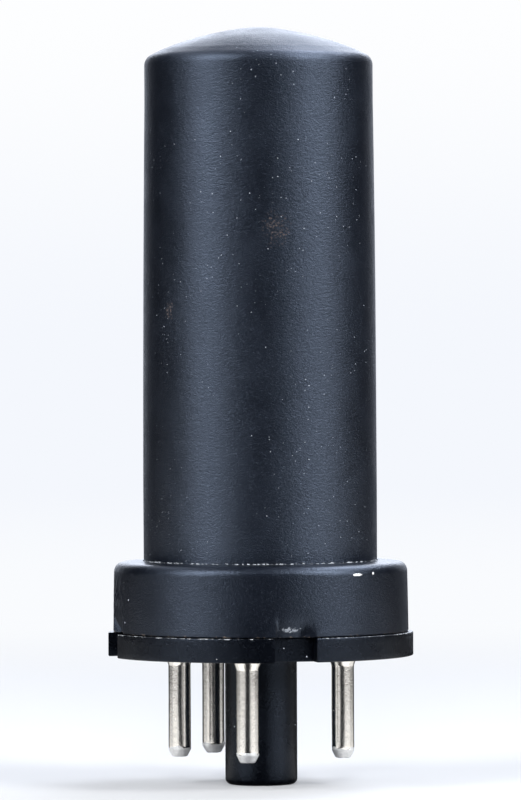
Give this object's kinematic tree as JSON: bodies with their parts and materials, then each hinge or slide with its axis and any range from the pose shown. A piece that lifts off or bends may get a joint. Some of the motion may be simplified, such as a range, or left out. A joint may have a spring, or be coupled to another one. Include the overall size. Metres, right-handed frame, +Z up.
{
  "type": "vacuum tube",
  "caption": "Metal-shell octal rectifier vacuum tube: black drawn shell with domed end, crimped skirt, moulded wafer base with keyed plug and hollow pins.",
  "frame": {"origin": "middle of the locating plug's flat end, on the tube's axis", "axes": "+Z up the axis towards the domed end; +Y through the locating key; pins count from the key, counter-clockwise seen from above"},
  "size_m": [0.0318, 0.0318, 0.08],
  "materials": {
    "black_paint": "satin black paint on steel",
    "phenolic": "moulded black phenolic",
    "nickel_plating": "worn nickel plating on brass",
    "solder": "dull tin-lead solder",
    "header_steel": "plain pressed steel",
    "sealing_alloy": "oxidised sealing alloy",
    "stem_glass": "clear stem glass",
    "lead_wire": "copper-clad nickel-iron wire",
    "bright_nickel": "bright nickel",
    "carbonised_plate": "carbonised nickel",
    "mica": "clear mica sheet",
    "oxide_coating": "white oxide coating on a nickel sleeve",
    "heater_coating": "white alumina coating on tungsten wire",
    "getter_coating": "grey getter coating on nickel ribbon"
  },
  "bodies": {
    "root": {"base_pin_1": "nickel_plating", "base_pin_2": "nickel_plating", "base_pin_4": "nickel_plating", "base_pin_6": "nickel_plating", "base_pin_8": "nickel_plating", "cathode_a": "oxide_coating", "cathode_b": "oxide_coating", "cathode_link": "bright_nickel", "exhaust_tube": "stem_glass", "ferrule_a_back_lower": "bright_nickel", "ferrule_a_back_upper": "bright_nickel", "ferrule_a_front_lower": "bright_nickel", "ferrule_a_front_upper": "bright_nickel", "ferrule_b_back_lower": "bright_nickel", "ferrule_b_back_upper": "bright_nickel", "ferrule_b_front_lower": "bright_nickel", "ferrule_b_front_upper": "bright_nickel", "getter_post": "bright_nickel", "getter_strip": "getter_coating", "glass_button": "stem_glass", "header": "header_steel", "header_insert": "sealing_alloy", "header_skirt": "black_paint", "heater_a": "heater_coating", "heater_b": "heater_coating", "heater_link": "bright_nickel", "heater_strap": "bright_nickel", "lead_1": "lead_wire", "lead_2": "lead_wire", "lead_4": "lead_wire", "lead_6": "lead_wire", "lead_8": "lead_wire", "mica_lower": "mica", "mica_upper": "mica", "octal_base": "phenolic", "pin_solder_1": "solder", "pin_solder_2": "solder", "pin_solder_4": "solder", "pin_solder_6": "solder", "pin_solder_8": "solder", "plate_a_left": "carbonised_plate", "plate_a_right": "carbonised_plate", "plate_b_left": "carbonised_plate", "plate_b_right": "carbonised_plate", "shell": "black_paint", "support_rod_a_back": "bright_nickel", "support_rod_a_front": "bright_nickel", "support_rod_b_back": "bright_nickel", "support_rod_b_front": "bright_nickel"}
  },
  "joints": []
}
